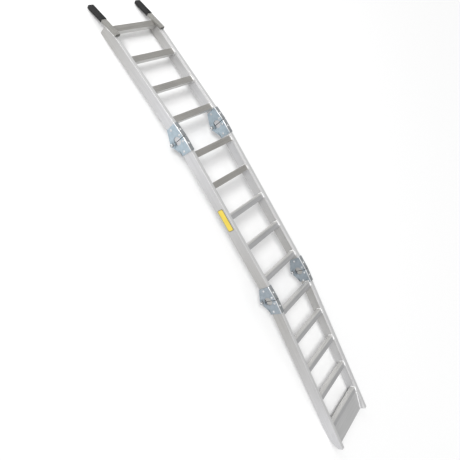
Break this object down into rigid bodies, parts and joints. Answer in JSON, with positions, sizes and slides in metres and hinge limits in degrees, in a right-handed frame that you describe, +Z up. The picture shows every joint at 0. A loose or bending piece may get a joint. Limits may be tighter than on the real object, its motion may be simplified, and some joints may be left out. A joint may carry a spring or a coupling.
{
  "type": "folding loading ramp",
  "caption": "Narrow ladder-style loading ramp in hinged sections that fold under one another, with box rails, ribbed rungs, tailgate fingers and a sloping ground plate.",
  "frame": {"origin": "centre of the footprint, on the ground plane the two ends stand on", "axes": "+X from the truck end to the ground end, +Y across the ramp from the left rail to the right rail, +Z up"},
  "size_m": [2.2704, 0.334, 0.1393],
  "materials": {
    "rail_aluminium": "mill finish extrusion with a faint lengthwise grain",
    "rung_aluminium": "mill finish extrusion with worn grip ribs",
    "plate_aluminium": "mill finish sheet",
    "hinge_zinc": "zinc-plated pressed steel, pale blue-grey",
    "fastener_steel": "bright zinc-plated steel",
    "sleeve_rubber": "black, dull",
    "label_plastic": "plain blank label, satin"
  },
  "bodies": {
    "middle_section": {"lower_left_hinge_middle_leaf": "hinge_zinc", "lower_left_hinge_middle_rivet_1": "fastener_steel", "lower_left_hinge_middle_rivet_2": "fastener_steel", "lower_left_hinge_pin": "fastener_steel", "lower_left_hinge_spacer": "fastener_steel", "lower_right_hinge_middle_leaf": "hinge_zinc", "lower_right_hinge_middle_rivet_1": "fastener_steel", "lower_right_hinge_middle_rivet_2": "fastener_steel", "lower_right_hinge_pin": "fastener_steel", "lower_right_hinge_spacer": "fastener_steel", "middle_label": "label_plastic", "middle_left_rail": "rail_aluminium", "middle_right_rail": "rail_aluminium", "middle_rung_1": "rung_aluminium", "middle_rung_2": "rung_aluminium", "middle_rung_3": "rung_aluminium", "middle_rung_4": "rung_aluminium", "middle_rung_5": "rung_aluminium", "upper_left_hinge_middle_leaf": "hinge_zinc", "upper_left_hinge_middle_rivet_1": "fastener_steel", "upper_left_hinge_middle_rivet_2": "fastener_steel", "upper_left_hinge_pin": "fastener_steel", "upper_left_hinge_spacer": "fastener_steel", "upper_right_hinge_middle_leaf": "hinge_zinc", "upper_right_hinge_middle_rivet_1": "fastener_steel", "upper_right_hinge_middle_rivet_2": "fastener_steel", "upper_right_hinge_pin": "fastener_steel", "upper_right_hinge_spacer": "fastener_steel"},
    "top_section": {"top_left_finger": "rail_aluminium", "top_left_rail": "rail_aluminium", "top_left_sleeve": "sleeve_rubber", "top_right_finger": "rail_aluminium", "top_right_rail": "rail_aluminium", "top_right_sleeve": "sleeve_rubber", "top_rung_1": "rung_aluminium", "top_rung_2": "rung_aluminium", "top_rung_3": "rung_aluminium", "top_rung_4": "rung_aluminium", "upper_left_hinge_top_leaf": "hinge_zinc", "upper_left_hinge_top_rivet_1": "fastener_steel", "upper_left_hinge_top_rivet_2": "fastener_steel", "upper_right_hinge_top_leaf": "hinge_zinc", "upper_right_hinge_top_rivet_1": "fastener_steel", "upper_right_hinge_top_rivet_2": "fastener_steel"},
    "bottom_section": {"bottom_left_rail": "rail_aluminium", "bottom_right_rail": "rail_aluminium", "bottom_rung_1": "rung_aluminium", "bottom_rung_2": "rung_aluminium", "bottom_rung_3": "rung_aluminium", "bottom_rung_4": "rung_aluminium", "bottom_rung_5": "rung_aluminium", "bottom_toe_plate": "plate_aluminium", "lower_left_hinge_bottom_leaf": "hinge_zinc", "lower_left_hinge_bottom_rivet_1": "fastener_steel", "lower_left_hinge_bottom_rivet_2": "fastener_steel", "lower_right_hinge_bottom_leaf": "hinge_zinc", "lower_right_hinge_bottom_rivet_1": "fastener_steel", "lower_right_hinge_bottom_rivet_2": "fastener_steel"}
  },
  "joints": [
    {"name": "upper_fold", "type": "hinge", "parent": "middle_section", "child": "top_section", "pos_m": [-0.46262, 0, 0.05175], "axis": [0, -1, 0], "range_deg": [0, 172]},
    {"name": "lower_fold", "type": "hinge", "parent": "middle_section", "child": "bottom_section", "pos_m": [0.3303, 0, 0.05977], "axis": [0, 1, 0], "range_deg": [0, 148]}
  ]
}
